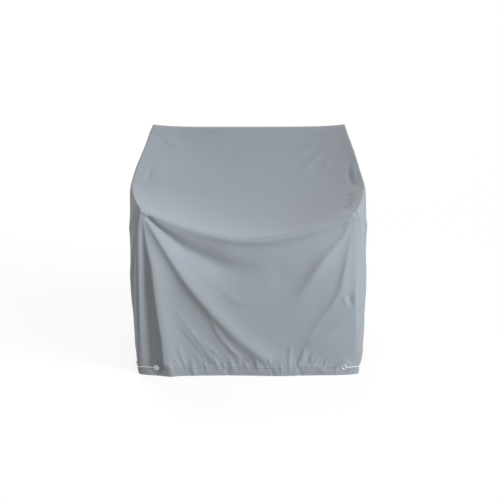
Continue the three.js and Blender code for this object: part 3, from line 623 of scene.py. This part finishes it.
def place_eyelet(name, x, back, normal):
    angles = np.arange(EYELET_SIDES) / EYELET_SIDES * 2 * math.pi
    rings = [np.column_stack([r * np.cos(angles), r * np.sin(angles), np.full(EYELET_SIDES, h)])
             for r, h in EYELET_PROFILE]
    points = np.vstack(rings)
    faces = []
    for k in range(len(rings)):
        here, there = k * EYELET_SIDES, (k + 1) % len(rings) * EYELET_SIDES
        for i in range(EYELET_SIDES):
            j = (i + 1) % EYELET_SIDES
            faces.append((here + i, here + j, there + j, there + i))
    mesh = bpy.data.meshes.new(name)
    mesh.from_pydata((points * MM).tolist(), [], faces)
    mesh.polygons.foreach_set("use_smooth", [True] * len(faces))
    mesh.materials.append(metal.data)
    turn = Vector((0, 0, 1)).rotation_difference(Vector(normal)).to_matrix().to_4x4()
    middle = Vector((x, back - DEPTH / 2, EYELET_UP)) - Vector(normal) * (CLOTH / 2)
    mesh.transform(Matrix.Translation(middle * MM) @ turn)
    ring = bpy.data.objects.new(name, mesh)
    bpy.context.scene.collection.objects.link(ring)
    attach(ring, "root")
    return ring


for side in ("left", "right"):
    x, back, tilt = FRONT_EYELETS[side]
    normal = Vector((tilt, -1, 0)).normalized()
    ring = place_eyelet(f"eyelet_ring_front_{side}", x, back, normal)
    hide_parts(f"eyelet_front_{side}")
    x, back, tilt = SIDE_EYELETS[side]
    normal = Vector((1, -tilt, 0)).normalized() * (-1 if side == "left" else 1)
    ring = place_eyelet(f"eyelet_ring_side_{side}", x, back, normal)
    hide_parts(f"eyelet_side_{side}")

# A short white braided elastic cord goes through each pair of eyelets and is knotted inside both,
# so that it draws the front corner of the hem together.
CORD = 4
CORD_ROUTES = {
    "left": [
        (-322.7, 16.2, 28), (-324.4, 11.4, 28), (-326, 9, 28), (-328.8, 7.7, 28), (-332.4, 8, 28),
        (-335.6, 9.5, 28), (-350, 11.7, 28.4), (-368, 14.6, 28.4), (-382, 17, 28.2), (-387, 19.5, 28),
        (-390, 25.5, 28), (-391.6, 31, 28), (-395, 47.5, 28.2), (-398.8, 65.6, 28), (-399.7, 69, 28),
        (-399.4, 72.6, 28), (-397.7, 75.1, 28), (-395, 76.3, 28), (-390, 77.1, 28),
    ],
    "right": [
        (338.2, 19.4, 28), (338.8, 14.3, 28), (339.9, 11.6, 28), (342.3, 9.8, 28), (345.9, 9.3, 28),
        (349.3, 10.1, 28), (354, 11.2, 28.2), (362, 12.9, 28.4), (370, 15, 28.4), (378, 17.8, 28.2),
        (385.5, 21, 28), (390.2, 23.8, 28), (393.2, 30.5, 28), (395.8, 44, 28.2), (398.1, 56.7, 28),
        (398.9, 60.1, 28), (398.5, 63.7, 28), (396.7, 66.1, 28), (394, 67.2, 28), (389, 67.9, 28),
    ],
}
KNOT_STRAND = 1.68
KNOT_TURN = 1.44
elastic = Material("cord_elastic")
lie = elastic.node("ShaderNodeUVMap", {"uv_map": "cord"})
around = elastic.node("ShaderNodeSeparateXYZ", values={0: lie}, output=0)
down = elastic.node("ShaderNodeSeparateXYZ", values={0: lie}, output=1)
# The plait pattern raises the strands in the bump and also darkens the cord's colour in the grooves between
# them: painted shade.
plait_height_and_groove_shade = ((around * 8 + down * 900).sine() * (around * 8 - down * 900).sine()).size()
elastic.set(Base_Color=elastic.mix(plait_height_and_groove_shade, (0.78, 0.78, 0.76, 1), (0.96, 0.96, 0.94, 1)), Roughness=0.72)
braid = elastic.node("ShaderNodeBump", values={"Strength": 0.6, "Distance": 1.0, "Height": plait_height_and_groove_shade * 0.0003})
elastic.set(Normal=braid)


def tube(name, route, radius, steps, sides=14):
    """A round cord along a smooth route, closed at both ends."""
    run = smooth_run(route, steps, 24)
    ahead = np.gradient(run, axis=0)
    ahead /= np.linalg.norm(ahead, axis=1, keepdims=True)
    across = np.cross(ahead, (0, 0, 1))
    across /= np.linalg.norm(across, axis=1, keepdims=True)
    above = np.cross(across, ahead)
    angles = np.arange(sides) / sides * 2 * math.pi
    turned = np.cos(angles)[None, :, None], np.sin(angles)[None, :, None]
    rings = run[:, None, :] + radius * (across[:, None, :] * turned[0] + above[:, None, :] * turned[1])
    tips = run[:1] - ahead[:1] * radius * 0.5, run[-1:] + ahead[-1:] * radius * 0.5
    points = np.vstack([rings.reshape(-1, 3), *tips])
    faces = []
    for k in range(len(run) - 1):
        for i in range(sides):
            j = (i + 1) % sides
            faces.append((k * sides + i, (k + 1) * sides + i, (k + 1) * sides + j, k * sides + j))
    first, last = len(points) - 2, len(points) - 1
    base = (len(run) - 1) * sides
    faces += [(first, i, (i + 1) % sides) for i in range(sides)]
    faces += [(last, base + (i + 1) % sides, base + i) for i in range(sides)]
    points[:, 1] -= DEPTH / 2
    mesh = bpy.data.meshes.new(name)
    mesh.from_pydata((points * MM).tolist(), [], faces)
    layer = mesh.uv_layers.new(name="cord")
    length = np.r_[0, np.cumsum(np.linalg.norm(np.diff(run, axis=0), axis=1))]
    for loop in mesh.loops:
        k, i = divmod(min(loop.vertex_index, len(run) * sides - 1), sides)
        layer.data[loop.index].uv = (angles[i], length[k] * MM)
    mesh.polygons.foreach_set("use_smooth", [True] * len(faces))
    return mesh


def knot_route(end):
    """A plain overhand knot around the cord's end, as a trefoil."""
    t = np.linspace(0, 2 * math.pi, 40, endpoint=False)
    x = np.sin(t) + 2 * np.sin(2 * t)
    y = np.cos(t) - 2 * np.cos(2 * t)
    z = -np.sin(3 * t)
    return [tuple(np.array(end) + KNOT_TURN * np.array(turn)) for turn in zip(x, z, y)]


for side, route in CORD_ROUTES.items():
    parts = [tube(f"corner_cord_{side}", route, CORD / 2, 90)]
    parts += [tube("knot", knot_route(end), KNOT_STRAND, 60, 10) for end in (route[0], route[-1])]
    cords = []
    for mesh in parts:
        mesh.materials.append(elastic.data)
        piece = bpy.data.objects.new(mesh.name, mesh)
        bpy.context.scene.collection.objects.link(piece)
        cords.append(piece)
    first = cords[0]
    with bpy.context.temp_override(active_object=first, selected_editable_objects=cords, object=first):
        bpy.ops.object.join()
    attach(cords[0], "root")
    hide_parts(f"cord_{side}")

# The studio: a wide pale floor, a broad low light from the right front, another from behind and above,
# a softbox in front and a smaller one beside the right corner. The camera is 4 m away and looks down
# 14 degrees.
scene = bpy.context.scene
floor_mesh = bpy.data.meshes.new("floor")
REACH = 60.0
floor_corners = [(x * REACH, y * REACH, 0) for x, y in ((-1, -1), (1, -1), (1, 1), (-1, 1))]
floor_mesh.from_pydata(floor_corners, [], [(0, 1, 2, 3)])
floor = bpy.data.objects.new("floor", floor_mesh)
scene.collection.objects.link(floor)
pale = Material("pale_floor")
pale.set(Base_Color=(0.25, 0.25, 0.25, 1), Roughness=0.9)
pale.set(Emission_Color=(1, 1, 1, 1), Emission_Strength=0.80)
floor_mesh.materials.append(pale.data)
floor.visible_diffuse = False

world = bpy.data.worlds.new("studio")
scene.world = world
world.use_nodes = True
world.node_tree.nodes["Background"].inputs["Color"].default_value = (1.06, 1.0, 0.93, 1)
world.node_tree.nodes["Background"].inputs["Strength"].default_value = 0.285

for name, energy, spread, colour, towards in (
    ("low_light", 2.35, 36, (0.97, 1.0, 1.04), (0.865, -0.460, 0.199)),
    ("rear_light", 1.1, 38, (0.97, 1.0, 1.04), (-0.207, 0.771, 0.602)),
):
    sun = bpy.data.lights.new(name, "SUN")
    sun.energy = energy
    sun.color = colour
    sun.angle = math.radians(spread)
    sun_object = bpy.data.objects.new(name, sun)
    scene.collection.objects.link(sun_object)
    sun_object.rotation_euler = Vector(towards).to_track_quat("Z", "Y").to_euler()

for name, energy, size, place, towards in (
    ("front_softbox", 4.6, 1.0, (0.25, -1.0, 1.35), (0.15, -0.62, 0.85)),
    ("side_softbox", 1.75, 0.6, (1.0, -1.05, 0.5), (0.72, -0.66, 0.15)),
):
    softbox = bpy.data.lights.new(name, "AREA")
    softbox.energy = energy
    softbox.size = size
    softbox_object = bpy.data.objects.new(name, softbox)
    scene.collection.objects.link(softbox_object)
    softbox_object.location = place
    softbox_object.rotation_euler = Vector(towards).to_track_quat("Z", "Y").to_euler()
    softbox_object.visible_camera = False

CAMERA_DISTANCE = 4.0
CAMERA_UP = 1.455
CAMERA_RIGHT = 0.006
PITCH = 14.0
camera_data = bpy.data.cameras.new("camera")
camera_data.sensor_width = 36
camera_data.lens = 86.4
camera = bpy.data.objects.new("camera", camera_data)
scene.collection.objects.link(camera)
camera.location = (CAMERA_RIGHT, -DEPTH / 2 * MM - CAMERA_DISTANCE, CAMERA_UP)
camera.rotation_euler = (math.radians(90 - PITCH), 0, 0)
scene.camera = camera
scene.view_settings.view_transform = "Standard"
